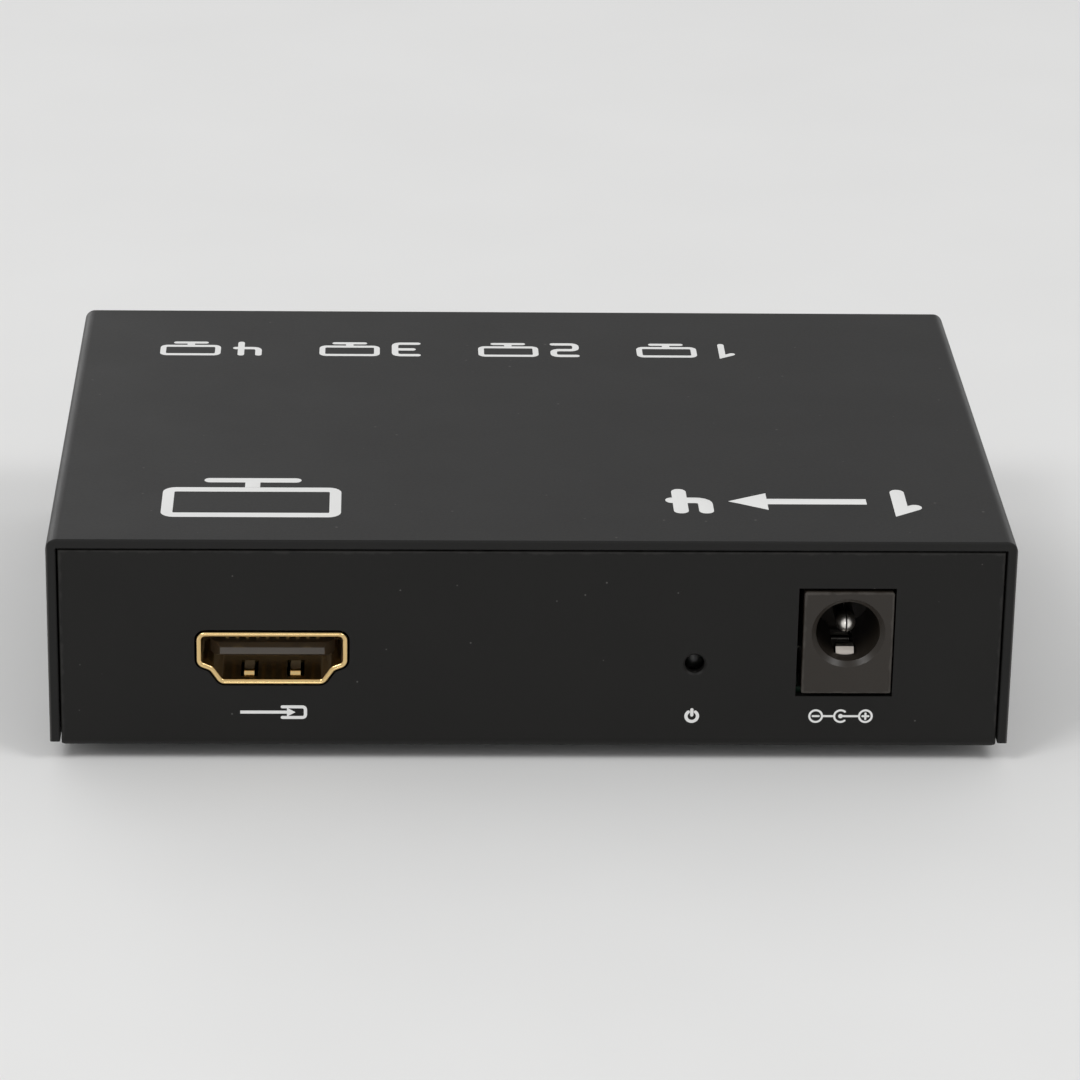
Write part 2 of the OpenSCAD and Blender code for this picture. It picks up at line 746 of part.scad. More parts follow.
// A piece that stands on the board at a given place
module on_board(at) {
  translate([at[0], at[1], board_top]) children();
}

// A block with its middle over 0,0 and its underside at z = 0
module block(size) {
  translate([-size[0] / 2, -size[1] / 2, 0]) cube(size);
}

module splitter_chip() {
  color([0.09, 0.09, 0.1]) on_board(chip_at) translate([0, 0, chip_lift]) block([chip_w, chip_w, chip_h]);
}

module splitter_chip_leads() {
  color([0.7, 0.7, 0.72]) on_board(chip_at) for (a = [0 : 90 : 270], x = row(chip_pins, chip_pitch))
    rotate([0, 0, a]) translate([x, 0, 0]) gull_wing(chip_w / 2, pin_reach, chip_lift + chip_h / 2, pin_w);
}

module thermal_pad() {
  color([0.5, 0.55, 0.6]) on_board(chip_at) translate([0, 0, chip_lift + chip_h])
    block([chip_w, chip_w, pad_h]);
}

module heat_sink() {
  color([0.2, 0.2, 0.22]) on_board(chip_at) translate([0, 0, chip_lift + chip_h + pad_h]) {
    block([chip_w, chip_w, sink_base]);
    for (x = row(sink_fins, (chip_w - sink_fin_t) / (sink_fins - 1)))
      translate([x, 0, 0]) block([sink_fin_t, chip_w, sink_h]);
  }
}

module memory_chip() {
  color([0.09, 0.09, 0.1]) on_board(memory_at) translate([0, 0, chip_lift]) block(memory_size);
}

module memory_chip_leads() {
  color([0.7, 0.7, 0.72]) on_board(memory_at) for (a = [0, 180], x = row(4, memory_pitch)) rotate([0, 0, a])
    translate([x, 0, 0]) gull_wing(memory_size[1] / 2, pin_reach, chip_lift + memory_size[2] / 2, pin_w);
}

module voltage_regulator() {
  color([0.09, 0.09, 0.1]) on_board(regulator_at) translate([0, 0, chip_lift]) block(regulator_size);
}

module voltage_regulator_leads() {
  side = regulator_size[1] / 2;
  lead_z = chip_lift + regulator_size[2] / 2;
  color([0.7, 0.7, 0.72]) on_board(regulator_at) {
    for (x = row(3, regulator_pitch)) rotate([0, 0, 180]) translate([x, 0, 0])
      gull_wing(side, 1.7, lead_z, 0.7);
    gull_wing(side, 1.7, lead_z, tab_plate_w);
  }
}

module power_inductor() {
  color([0.18, 0.18, 0.19]) on_board(inductor_at) linear_extrude(inductor_h)
    rounded_square([inductor_w, inductor_w], 1.2);
}

// The cans stand on square bases with two cut corners
module capacitor_cans() {
  color([0.75, 0.75, 0.76]) for (p = can_at) on_board(p) translate([0, 0, base_h])
    rotate_extrude() bevelled_half(can_d, can_h, 0.4);
}

module capacitor_bases() {
  h = base_w / 2;
  color([0.08, 0.08, 0.08]) for (p = can_at) on_board(p) linear_extrude(base_h)
    polygon([[-h, -h], [h, -h], [h, h - 1.2], [h - 1.2, h], [1.2 - h, h], [-h, h - 1.2]]);
}

module clock_crystal() {
  color([0.78, 0.78, 0.78]) on_board(crystal_at) linear_extrude(crystal_size[2])
    rounded_square([crystal_size[0], crystal_size[1]], 0.45 * crystal_size[1]);
}

module chip_resistors() {
  color([0.15, 0.15, 0.16]) {
    for (x = output_x, i = resistor_row) on_board([x + i * resistor_pitch, resistor_y]) block(resistor_size);
    for (i = resistor_row) on_board([input_x + i * resistor_pitch, input_resistor_y]) block(resistor_size);
  }
}

module chip_capacitors() {
  color([0.55, 0.45, 0.3]) {
    for (x = row(3, capacitor_gap), y = capacitor_rows) on_board([x, y]) block(capacitor_size);
    for (y = row(3, capacitor_gap)) on_board([capacitor_x, chip_at[1] + y]) block(capacitor_size);
  }
}

top_cover();
base_tray();
cover_screws();
rubber_feet();
main_board();
board_standoffs();
board_screws();
input_socket_shell();
input_socket_insulator();
input_socket_contacts();
for (i = [0 : outputs - 1]) {
  at_output(i) socket_shell();
  at_output(i) socket_insulator();
  at_output(i) socket_contacts();
}
jack_body();
jack_pin();
jack_leaf();
jack_sleeve_terminal();
jack_switch_contact();
lamp_lens();
lamp_leads();
splitter_chip();
splitter_chip_leads();
thermal_pad();
heat_sink();
memory_chip();
memory_chip_leads();
voltage_regulator();
voltage_regulator_leads();
power_inductor();
capacitor_cans();
capacitor_bases();
clock_crystal();
chip_resistors();
chip_capacitors();
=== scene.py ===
import bmesh
import bpy
import numpy as np
from mathutils import Matrix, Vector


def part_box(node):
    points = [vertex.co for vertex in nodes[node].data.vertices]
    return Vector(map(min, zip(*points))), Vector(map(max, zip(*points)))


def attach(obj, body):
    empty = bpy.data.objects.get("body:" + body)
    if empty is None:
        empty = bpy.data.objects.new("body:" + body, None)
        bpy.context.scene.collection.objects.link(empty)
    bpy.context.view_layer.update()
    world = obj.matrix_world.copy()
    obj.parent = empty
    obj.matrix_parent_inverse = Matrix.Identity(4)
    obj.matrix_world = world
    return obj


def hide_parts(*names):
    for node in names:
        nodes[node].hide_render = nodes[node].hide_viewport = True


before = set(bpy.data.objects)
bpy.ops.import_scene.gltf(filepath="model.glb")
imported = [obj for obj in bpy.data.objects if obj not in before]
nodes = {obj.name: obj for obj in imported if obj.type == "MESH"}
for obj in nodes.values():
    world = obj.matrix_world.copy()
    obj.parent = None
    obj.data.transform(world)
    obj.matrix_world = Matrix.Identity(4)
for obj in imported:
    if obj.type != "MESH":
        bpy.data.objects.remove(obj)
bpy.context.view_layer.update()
mm = 0.001
caseBody = "splitter_case"
outputs = range(1, 5)  # numbers of the output sockets
print("frame loaded with", len(nodes), "nodes")


def boxOf(node):
    # a node's own box in mm, lowest and highest corner
    return [np.array(corner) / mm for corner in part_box(node)]


# camera, in degrees and mm, fitted to the edges of the case in the photograph
shot = {"lens": 154.52, "sensor": 36.0, "azimuth": -2.194, "elevation": 22.184, "roll": 1.018,
        "right": 2.067, "up": 8.103, "distance": 496.44, "lift": 1.5, "nearest": 10.0}


def placeCamera(v):
    # back = direction of azimuth and elevation; right and up turn about it by the roll;
    # the camera stands the distance along back, moved along right and up, above the lift
    az, el, roll = np.radians([v["azimuth"], v["elevation"], v["roll"]])
    back = np.array([np.sin(az) * np.cos(el), -np.cos(az) * np.cos(el), np.sin(el)])
    level = np.array([np.cos(az), np.sin(az), 0.0])
    rise = np.cross(back, level)
    right = np.cos(roll) * level + np.sin(roll) * rise
    up = np.cos(roll) * rise - np.sin(roll) * level
    at = back * v["distance"] + right * v["right"] + up * v["up"] + [0, 0, v["lift"]]
    data = bpy.data.cameras.new("photoCamera")
    data.sensor_fit = "HORIZONTAL"
    data.sensor_width = v["sensor"]
    data.lens = v["lens"]
    data.clip_start = v["nearest"] * mm
    camera = bpy.data.objects.new("photoCamera", data)
    bpy.context.scene.collection.objects.link(camera)
    place = np.eye(4)
    place[:3, :4] = np.stack([right, up, back, at * mm], 1)
    camera.matrix_world = Matrix(place.tolist())
    bpy.context.scene.camera = camera


placeCamera(shot)
bpy.context.scene.view_settings.view_transform = "Standard"
print("camera placed")


# shader helpers
def add(tree, kind, inputs=None, **settings):
    # one node; an input takes a socket to link or a plain value
    node = tree.nodes.new(kind if kind.startswith("Node") else "ShaderNode" + kind)
    for key, value in settings.items():
        setattr(node, key, value)
    for key, value in (inputs or {}).items():
        if isinstance(value, bpy.types.NodeSocket):
            tree.links.new(value, node.inputs[key])
        else:
            node.inputs[key].default_value = value
    return node


def calc(tree, operation, a, b=0.0, c=0.0, clamp=False):
    # the result of one Math node; a, b and c are sockets or plain values
    return add(tree, "Math", {0: a, 1: b, 2: c}, operation=operation, use_clamp=clamp).outputs[0]


def startGroup(name, inputs, outputs):
    # an effect shared by several materials, with named sockets
    tree = bpy.data.node_groups.new(name, "ShaderNodeTree")
    for label, start in inputs.items():
        kind = "NodeSocketVector" if isinstance(start, tuple) else "NodeSocketFloat"
        tree.interface.new_socket(label, in_out="INPUT", socket_type=kind).default_value = start
    for label in outputs:
        tree.interface.new_socket(label, in_out="OUTPUT", socket_type="NodeSocketFloat")
    given = add(tree, "NodeGroupInput").outputs
    return tree, given, add(tree, "NodeGroupOutput").inputs


grainNoise = {"detail": 3.0, "roughness": 0.6, "broadScale": 0.035, "broadDetail": 2.0}


def grainGroup(v):
    # fine and broad noise over Object coordinates, stretched along the axes
    tree, given, out = startGroup("surfaceGrain", {"Scale": 2000.0, "Stretch": (1.0, 1.0, 1.0)},
                                  ["Fine", "Broad"])
    place = add(tree, "TexCoord").outputs["Object"]
    drawn = add(tree, "VectorMath", {0: place, 1: given["Stretch"]}, operation="MULTIPLY").outputs[0]
    fine = add(tree, "TexNoise", {"Vector": drawn, "Scale": given["Scale"], "Detail": v["detail"],
                                  "Roughness": v["roughness"]})
    wide = calc(tree, "MULTIPLY", given["Scale"], v["broadScale"])
    broad = add(tree, "TexNoise", {"Vector": drawn, "Scale": wide, "Detail": v["broadDetail"]})
    tree.links.new(fine.outputs[0], out["Fine"])
    tree.links.new(broad.outputs[0], out["Broad"])
    return tree


speckSpread = {"least": 0.2, "more": 0.8, "hardness": 1.8}


def specksGroup(v):
    # round spots about random cell centres: 1 inside a spot, 0 outside, each spot with its own size
    tree, given, out = startGroup("dustSpecks", {"Scale": 330.0, "Size": 0.06, "Share": 0.7}, ["Mask"])
    place = add(tree, "TexCoord").outputs["Object"]
    cell = add(tree, "TexVoronoi", {"Vector": place, "Scale": given["Scale"]})
    chance = add(tree, "SeparateColor", {0: cell.outputs["Color"]}).outputs
    chosen = calc(tree, "LESS_THAN", chance[0], given["Share"])
    size = calc(tree, "MULTIPLY_ADD", chance[1], v["more"], v["least"])
    reach = calc(tree, "MULTIPLY", given["Size"], size)
    spot = calc(tree, "SUBTRACT", 1.0, calc(tree, "DIVIDE", cell.outputs["Distance"], reach), clamp=True)
    soft = calc(tree, "MULTIPLY", spot, v["hardness"], clamp=True)
    tree.links.new(calc(tree, "MULTIPLY", chosen, soft), out["Mask"])
    return tree


wearAndHighlightBreak = {"edge": 0.75, "start": 0.85, "hardness": 4.0, "detail": 3.0}


def wearAndHighlightGroup(v):
    # nearness to a box's edges: each axis rises from 0 to 1 over Width, and the two largest are multiplied;
    # noise is added to it, and what passes the start is lightened: worn edges, and on the cover a painted
    # highlight
    tree, given, out = startGroup("edgeWearAndHighlight", {"Middle": (0.0, 0.0, 0.0), "Half": (1.0, 1.0, 1.0),
                                               "Width": 0.001, "Break": 900.0}, ["Mask"])
    place = add(tree, "TexCoord").outputs["Object"]
    gap = add(tree, "VectorMath", {0: place, 1: given["Middle"]}, operation="SUBTRACT").outputs[0]
    size = add(tree, "VectorMath", {0: gap}, operation="ABSOLUTE").outputs[0]
    past = add(tree, "VectorMath", {0: size, 1: given["Half"]}, operation="SUBTRACT").outputs[0]
    axes = add(tree, "SeparateXYZ", {0: past}).outputs
    near = [calc(tree, "ADD", calc(tree, "DIVIDE", a, given["Width"]), 1.0, clamp=True) for a in axes]
    pairs = [calc(tree, "MULTIPLY", near[i], near[i - 1]) for i in range(3)]
    edge = calc(tree, "MAXIMUM", calc(tree, "MAXIMUM", pairs[0], pairs[1]), pairs[2])
    noise = add(tree, "TexNoise", {"Vector": place, "Scale": given["Break"], "Detail": v["detail"]})
    broken = calc(tree, "MULTIPLY_ADD", edge, v["edge"], noise.outputs[0])
    wornAndLit = calc(tree, "SUBTRACT", broken, v["start"])
    tree.links.new(calc(tree, "MULTIPLY", wornAndLit, v["hardness"], clamp=True), out["Mask"])
    return tree


grainTree = grainGroup(grainNoise)
specksTree = specksGroup(speckSpread)
wearAndHighlightTree = wearAndHighlightGroup(wearAndHighlightBreak)


def useGroup(tree, group, **values):
    # a shared effect placed in a material with its own values
    node = tree.nodes.new("ShaderNodeGroup")
    node.node_tree = group
    for key, value in values.items():
        node.inputs[key].default_value = value
    return node.outputs


def blendTone(tree, share, a, b):
    # colour a where share is 0, colour b where it is 1; the node's colours are inputs 6 and 7 and output 2
    node = add(tree, "Mix", data_type="RGBA")
    for socket, value in zip([node.inputs[0], node.inputs[6], node.inputs[7]], [share, a, b]):
        if isinstance(value, bpy.types.NodeSocket):
            tree.links.new(value, socket)
        elif isinstance(value, tuple):
            socket.default_value = (*value, 1.0)
        else:
            socket.default_value = value
    return node.outputs[2]


plainLift = 0.5  # strength of the bump where a finish gives none
dustRough = 0.3  # a speck is this much rougher than what it lies on


def finish(name, look):
    # colour runs between two tones with the broad grain, roughness between two values with the mean of
    # both grains, lighter edges (wear, and on the cover a painted highlight) and dust lie over them, and the
    # fine grain lifts the surface by its depth in mm
    material = bpy.data.materials.new(name)
    material.use_nodes = True
    tree = material.node_tree
    tree.nodes.clear()
    shader = add(tree, "BsdfPrincipled", {"Metallic": look.get("metal", 0.0), **look.get("set", {})})
    tree.links.new(shader.outputs[0], add(tree, "OutputMaterial").inputs[0])
    grain = useGroup(tree, grainTree, Scale=look["scale"], Stretch=look.get("stretch", (1.0, 1.0, 1.0)))
    tone = blendTone(tree, grain["Broad"], look["tones"][0], look["tones"][1])
    low, high = look["rough"]
    mean = calc(tree, "MULTIPLY_ADD", grain["Broad"], 0.5, calc(tree, "MULTIPLY", grain["Fine"], 0.5))
    rough = calc(tree, "MULTIPLY_ADD", mean, high - low, low)
    if "pattern" in look:
        tone = look["pattern"](tree, tone)
    if "wearAndHighlight" in look:
        wearAndHighlight = look["wearAndHighlight"]
        wornAndLit = useGroup(tree, wearAndHighlightTree, **wearAndHighlight["shape"])["Mask"]
        tone = blendTone(tree, calc(tree, "MULTIPLY", wornAndLit, wearAndHighlight["share"]), tone, wearAndHighlight["tone"])
        rough = calc(tree, "MULTIPLY_ADD", wornAndLit, wearAndHighlight["polish"], rough)
    if "dust" in look:
        dust = look["dust"]
        specks = useGroup(tree, specksTree, **dust["shape"])["Mask"]
        tone = blendTone(tree, calc(tree, "MULTIPLY", specks, dust["share"]), tone, dust["tone"])
        rough = calc(tree, "MULTIPLY_ADD", specks, dustRough, rough)
    tree.links.new(tone, shader.inputs["Base Color"])
    tree.links.new(rough, shader.inputs["Roughness"])
    lift = add(tree, "Bump", {"Strength": look.get("lift", plainLift), "Distance": look["depth"] * mm,
                              "Height": grain["Fine"]})
    tree.links.new(lift.outputs[0], shader.inputs["Normal"])
    return material


def boxWearAndHighlight(node, width, share, tone, polish=-0.1, tall=1.0, breaks=900.0):
    # lighter edges of a node's own box, broken up by noise: wear, and on the cover a painted highlight; in a
    # tall box only its upright edges lighten
    low, high = (np.array(corner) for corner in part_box(node))
    half = (high - low) / 2 * [1.0, 1.0, tall]
    shape = {"Middle": tuple((low + high) / 2), "Half": tuple(half), "Width": width * mm, "Break": breaks}
    return {"shape": shape, "share": share, "tone": tone, "polish": polish}


def boreShade(start, run, shadeTone):
    # painted shade: share of the shade tone = (y - start) / run, held between 0 and 1, darker deeper in the
    # bore
    def pattern(tree, tone):
        depth = add(tree, "SeparateXYZ", {0: add(tree, "TexCoord").outputs["Object"]}).outputs[1]
        inside = calc(tree, "MULTIPLY_ADD", depth, 1 / (run * mm), -start / run, clamp=True)
        return blendTone(tree, inside, tone, shadeTone)
    return pattern


copper = {"scale": 420.0, "waves": 6.0, "crest": 0.5, "edge": 0.30, "share": 0.8,
          "tone": (0.009, 0.038, 0.020)}


def copperRuns(tree, tone):
    # the solder mask is a little lighter over the copper runs: a wave of the distance in square cells,
    # cut off at its edge
    place = add(tree, "TexCoord").outputs["Object"]
    cell = add(tree, "TexVoronoi", {"Vector": place, "Scale": copper["scale"]},
               distance="CHEBYCHEV", feature="F2").outputs[0]
    wave = calc(tree, "PINGPONG", calc(tree, "MULTIPLY", cell, copper["waves"]), copper["crest"])
    run = calc(tree, "GREATER_THAN", wave, copper["edge"])
    return blendTone(tree, calc(tree, "MULTIPLY", run, copper["share"]), tone, copper["tone"])


# finishes
# matt black baked coat: fine orange peel, faint warm and cool patches, dust, slightly rubbed tray edges, a
# painted highlight on the cover's upright edges
coatLook = {"tones": ((0.0058, 0.0056, 0.0052), (0.0088, 0.0085, 0.0081)), "rough": (0.44, 0.60),
            "scale": 3200.0, "depth": 0.012, "lift": 0.55, "set": {"Specular IOR Level": 0.25},
            "dust": {"shape": {"Scale": 430.0, "Size": 0.085, "Share": 0.85}, "share": 0.6,
                     "tone": (0.15, 0.145, 0.14)}}
# the cover's upright edges carry an unbroken lighter line: a painted highlight, not wear
coverCoat = finish("coverCoat", {
    **coatLook, "wearAndHighlight": boxWearAndHighlight("top_cover", 0.40, 0.5, (0.13, 0.125, 0.12), tall=9.0, breaks=1.0)})
trayCoat = finish("trayCoat", {
    **coatLook, "tones": ((0.0056, 0.0053, 0.0047), (0.0086, 0.0082, 0.0075)),
    "set": {"Specular IOR Level": 0.235}, "wearAndHighlight": boxWearAndHighlight("base_tray", 0.6, 0.25, (0.05, 0.048, 0.045))})

# gold over drawn sheet, with fine lines along the depth; the contacts' gold is rougher and painted darker,
# as shade in the sockets
goldPlate = finish("goldPlate", {
    "tones": ((0.78, 0.545, 0.235), (0.90, 0.665, 0.33)), "metal": 1.0, "rough": (0.14, 0.26),
    "scale": 5200.0, "stretch": (1.0, 0.15, 1.0), "depth": 0.004})
goldContact = finish("goldContact", {
    "tones": ((0.40, 0.28, 0.12), (0.52, 0.38, 0.17)), "metal": 1.0, "rough": (0.24, 0.38),
    "scale": 6000.0, "depth": 0.002})

# moulded resins
tongueResin = finish("tongueResin", {
    "tones": ((0.040, 0.031, 0.022), (0.060, 0.047, 0.034)), "rough": (0.28, 0.42),
    "set": {"Specular IOR Level": 0.8}, "scale": 4200.0, "depth": 0.005})
jackResin = finish("jackResin", {
    "tones": ((0.018, 0.0142, 0.0108), (0.026, 0.0212, 0.0166)), "rough": (0.28, 0.42),
    "set": {"Specular IOR Level": 0.35}, "scale": 3600.0, "depth": 0.010,
    "wearAndHighlight": boxWearAndHighlight("jack_body", 0.5, 0.3, (0.11, 0.10, 0.09)),
    "dust": {"shape": {"Scale": 480.0, "Size": 0.08, "Share": 0.6}, "share": 0.4,
             "tone": (0.2, 0.19, 0.18)}})
chipResin = finish("chipResin", {
    "tones": ((0.020, 0.020, 0.022), (0.034, 0.034, 0.036)), "rough": (0.50, 0.66),
    "scale": 2600.0, "depth": 0.008})

# bright metals
# pin and leaf: their plating is painted darker deeper into the bore, as painted shade
pinPlate = finish("pinPlate", {
    "tones": ((0.84, 0.81, 0.75), (0.93, 0.90, 0.85)), "metal": 1.0, "rough": (0.26, 0.38),
    "scale": 5000.0, "depth": 0.002,
    "pattern": boreShade(start=-31.4, run=1.1, shadeTone=(0.09, 0.085, 0.08))})
leafPlate = finish("leafPlate", {
    "tones": ((0.60, 0.555, 0.50), (0.72, 0.67, 0.61)), "metal": 1.0, "rough": (0.26, 0.40),
    "scale": 4200.0, "stretch": (1.0, 0.12, 1.0), "depth": 0.003,
    "pattern": boreShade(start=-30.9, run=0.5, shadeTone=(0.10, 0.095, 0.088))})
# the jack's inner nickel parts are painted darker all over, as painted shade in the bore
nickelPlate = finish("nickelPlate", {
    "tones": ((0.26, 0.25, 0.23), (0.36, 0.35, 0.32)), "metal": 1.0, "rough": (0.12, 0.24),
    "scale": 5000.0, "stretch": (1.0, 0.2, 1.0), "depth": 0.002})
springSteel = finish("springSteel", {
    "tones": ((0.62, 0.60, 0.55), (0.76, 0.74, 0.70)), "metal": 1.0, "rough": (0.16, 0.28),
    "scale": 4200.0, "stretch": (1.0, 0.12, 1.0), "depth": 0.002})
tinnedLead = finish("tinnedLead", {
    "tones": ((0.58, 0.58, 0.59), (0.72, 0.72, 0.73)), "metal": 1.0, "rough": (0.26, 0.42),
    "scale": 3800.0, "depth": 0.004})
turnedBrass = finish("turnedBrass", {
    "tones": ((0.62, 0.46, 0.20), (0.74, 0.58, 0.29)), "metal": 1.0, "rough": (0.22, 0.36),
    "scale": 2800.0, "stretch": (0.15, 0.15, 1.0), "depth": 0.004})
drawnCan = finish("drawnCan", {
    "tones": ((0.66, 0.66, 0.67), (0.80, 0.80, 0.81)), "metal": 1.0, "rough": (0.20, 0.34),
    "scale": 3000.0, "stretch": (1.0, 1.0, 0.1), "depth": 0.003})
sinkMetal = finish("sinkMetal", {
    "tones": ((0.045, 0.045, 0.048), (0.075, 0.075, 0.078)), "metal": 0.7, "rough": (0.38, 0.54),
    "scale": 2400.0, "stretch": (1.0, 0.1, 1.0), "depth": 0.006})
blackScrew = finish("blackScrew", {
    "tones": ((0.030, 0.030, 0.033), (0.058, 0.058, 0.062)), "metal": 0.6, "rough": (0.30, 0.46),
    "scale": 2600.0, "depth": 0.006, "wearAndHighlight": boxWearAndHighlight("cover_screws", 0.5, 0.5, (0.30, 0.30, 0.31))})

# rubber, ferrite, ceramic, clear resin, ink and the board's mask
footRubber = finish("footRubber", {
    "tones": ((0.018, 0.018, 0.018), (0.034, 0.033, 0.032)), "rough": (0.68, 0.86),
    "scale": 1800.0, "depth": 0.02,
    "dust": {"shape": {"Scale": 620.0, "Size": 0.10, "Share": 0.8}, "share": 0.5,
             "tone": (0.24, 0.23, 0.22)}})
padRubber = finish("padRubber", {
    "tones": ((0.30, 0.34, 0.40), (0.38, 0.42, 0.47)), "rough": (0.62, 0.80),
    "scale": 1600.0, "depth": 0.02})
ferrite = finish("ferrite", {
    "tones": ((0.085, 0.085, 0.088), (0.13, 0.13, 0.135)), "rough": (0.55, 0.75),
    "scale": 2000.0, "depth": 0.02})
firedCeramic = finish("firedCeramic", {
    "tones": ((0.42, 0.30, 0.19), (0.54, 0.41, 0.27)), "rough": (0.40, 0.58),
    "scale": 3000.0, "depth": 0.006})
lampResin = finish("lampResin", {
    "tones": ((0.34, 0.36, 0.34), (0.42, 0.44, 0.42)), "rough": (0.34, 0.48),
    "scale": 1500.0, "depth": 0.002, "set": {"Transmission Weight": 1.0, "IOR": 1.5}})
printInk = finish("printInk", {
    "tones": ((0.72, 0.72, 0.71), (0.82, 0.82, 0.81)), "rough": (0.42, 0.58),
    "scale": 3000.0, "depth": 0.004})
boardMask = finish("boardMask", {
    "tones": ((0.003, 0.016, 0.009), (0.005, 0.023, 0.013)), "rough": (0.28, 0.44),
    "scale": 1400.0, "depth": 0.006, "pattern": copperRuns})
print("finishes ready")


def dress(material, *names):
    # the named nodes' slots hold this one material
    for name in names:
        slots = nodes[name].data.materials
        slots.clear()
        slots.append(material)


dress(coverCoat, "top_cover")
dress(trayCoat, "base_tray")
dress(blackScrew, "cover_screws")
dress(boardMask, "main_board")
dress(turnedBrass, "board_standoffs")
dress(springSteel, "board_screws")
dress(leafPlate, "jack_leaf")
dress(pinPlate, "jack_pin")
dress(tongueResin, "input_socket_insulator", "capacitor_bases",
      *[f"output_socket_insulator_{i}" for i in outputs])
dress(goldContact, "input_socket_contacts", *[f"output_socket_contacts_{i}" for i in outputs])
dress(jackResin, "jack_body")
dress(nickelPlate, "jack_sleeve_terminal", "jack_switch_contact")
dress(lampResin, "lamp_lens")
dress(tinnedLead, "lamp_leads", "splitter_chip_leads", "memory_chip_leads", "voltage_regulator_leads")
dress(chipResin, "splitter_chip", "memory_chip", "voltage_regulator", "chip_resistors")
dress(padRubber, "thermal_pad")
dress(sinkMetal, "heat_sink")
dress(ferrite, "power_inductor")
dress(drawnCan, "capacitor_cans", "clock_crystal")
dress(firedCeramic, "chip_capacitors")
print("carried-over nodes dressed")


# mesh helpers
def gridFaces(rows, cols, closeRows=False, closeCols=False, start=0):
    # one quad per cell of a rows by cols grid, wrapped round where a direction closes
    i, j = np.meshgrid(np.arange(rows - (not closeRows)), np.arange(cols - (not closeCols)), indexing="ij")
    i2, j2 = (i + 1) % rows, (j + 1) % cols
    return start + np.stack([i * cols + j, i * cols + j2, i2 * cols + j2, i2 * cols + j], -1).reshape(-1, 4)


def makePiece(name, points, faces, material, slot=None, replaced=(), sharp=38.0, merge=1e-4):
    # points in mm; doubles at poles merge, faces turn outwards, edges over the sharp angle stay crisp
    mesh = bpy.data.meshes.new(name)
    mesh.from_pydata((np.asarray(points, float) * mm).tolist(), [], np.asarray(faces).tolist())
    work = bmesh.new()
    work.from_mesh(mesh)
    bmesh.ops.remove_doubles(work, verts=work.verts, dist=merge * mm)
    bmesh.ops.recalc_face_normals(work, faces=work.faces)
    work.to_mesh(mesh)
    work.free()
    mesh.polygons.foreach_set("use_smooth", np.ones(len(mesh.polygons), dtype=bool))
    mesh.set_sharp_from_angle(angle=np.radians(sharp))
    mesh.materials.append(material)
    piece = bpy.data.objects.new(name, mesh)
    bpy.context.scene.collection.objects.link(piece)
    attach(piece, caseBody)
    if replaced:
        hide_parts(*replaced)
    return piece


def roundArc(centre, r, start, end, count):
    # points at r from the centre, from one angle to another in degrees
    a = np.radians(np.linspace(start, end, count))
    return np.asarray(centre) + r * np.stack([np.cos(a), np.sin(a)], 1)


# socket shells: a wall section carried round the socket's outline
shell = {"core": [(6.6, 1.9), (-6.6, 1.9), (-6.6, -0.2), (-5.6, -0.6), (-4.7, -1.9),
                  (4.7, -1.9), (5.6, -0.6), (6.6, -0.2)],
         "cornerR": 0.4, "hollowR": 1.5, "cornerSteps": 8, "endStop": 0.06, "wall": 0.3, "length": 11.0,
         "lip": 0.5, "lipLength": 0.8, "lipBack": 0.12, "flare": 28.0,
         "innerRound": 0.20, "innerSteps": 6, "outerRound": 0.19, "outerSteps": 7,
         "tabY": (1.0, 4.65), "tabSlot": 0.35, "tabWidth": 1.0, "tabBulge": 0.42, "tabRamp": 0.55,
         "tabEnd": 0.25, "upperTab": 3.4, "lowerTab": 2.3,
         "rampSteps": 9, "leafStart": 2.0, "leafSteps": 7, "rearStart": 5.6, "rearSteps": 4,
         "legX": 7.15, "legY": (3.1, 8.9), "legWidth": 1.0, "legTop": -0.4, "legEnd": -5.8,
         "legTaper": 0.3, "legTip": 0.7}
flatWall = 0.999  # a normal that is this upright belongs to the upper or lower wall
slack = 0.01  # mm, so that a stop on a tab's own edge counts as the tab


def outlineLine(v):
    # every corner of the core gives a fan of normals; outline at growth g = base + (cornerR + g) x normal;
    # a corner that points inwards turns about a centre outside the outline
    core = np.array(v["core"])
    ahead = np.roll(core, -1, 0) - core
    ahead /= np.linalg.norm(ahead, axis=1, keepdims=True)
    nextN = np.stack([ahead[:, 1], -ahead[:, 0]], 1)
    lastN = np.roll(nextN, 1, 0)
    turn = np.arctan2(lastN[:, 0] * nextN[:, 1] - lastN[:, 1] * nextN[:, 0], np.sum(lastN * nextN, 1))
    t = np.linspace(0, 1, v["cornerSteps"] + 1)
    angle = np.arctan2(lastN[:, 1], lastN[:, 0])[:, None] + turn[:, None] * t
    normal = np.stack([np.cos(angle), np.sin(angle)], -1)
    inside = np.where(turn < 0, v["hollowR"], 0.0)[:, None]
    centre = core + inside * (lastN + nextN) / (1 + np.sum(lastN * nextN, 1, keepdims=True))
    base = centre[:, None] - inside[:, None] * normal
    return base, normal


def stations(v):
    # the straights get stops at both ends, and at the sides of the spring tabs on the upper and lower walls
    base, normal = outlineLine(v)
    half, slot = v["tabWidth"] / 2, v["tabSlot"]
    offsets = np.array([-half - slot, -half, -half / 3, half / 3, half, half + slot])
    rows, norms = [], []
    for k in range(len(base)):
        a, b, n = base[k, -1], base[(k + 1) % len(base), 0], normal[k, -1]
        span = np.linalg.norm(b - a)
        stops = np.array([v["endStop"], span - v["endStop"]])
        if abs(n[1]) > flatWall:
            tabX = v["upperTab"] if n[1] > 0 else v["lowerTab"]
            xs = np.concatenate([-tabX + offsets, tabX + offsets])
            stops = np.concatenate([stops, (xs - a[0]) * np.sign(b[0] - a[0])])
        stops = np.sort(stops)[:, None]
        rows += [base[k], a + (b - a) / span * stops]
        norms += [normal[k], np.repeat(n[None], len(stops), 0)]
    return np.vstack(rows), np.vstack(norms)


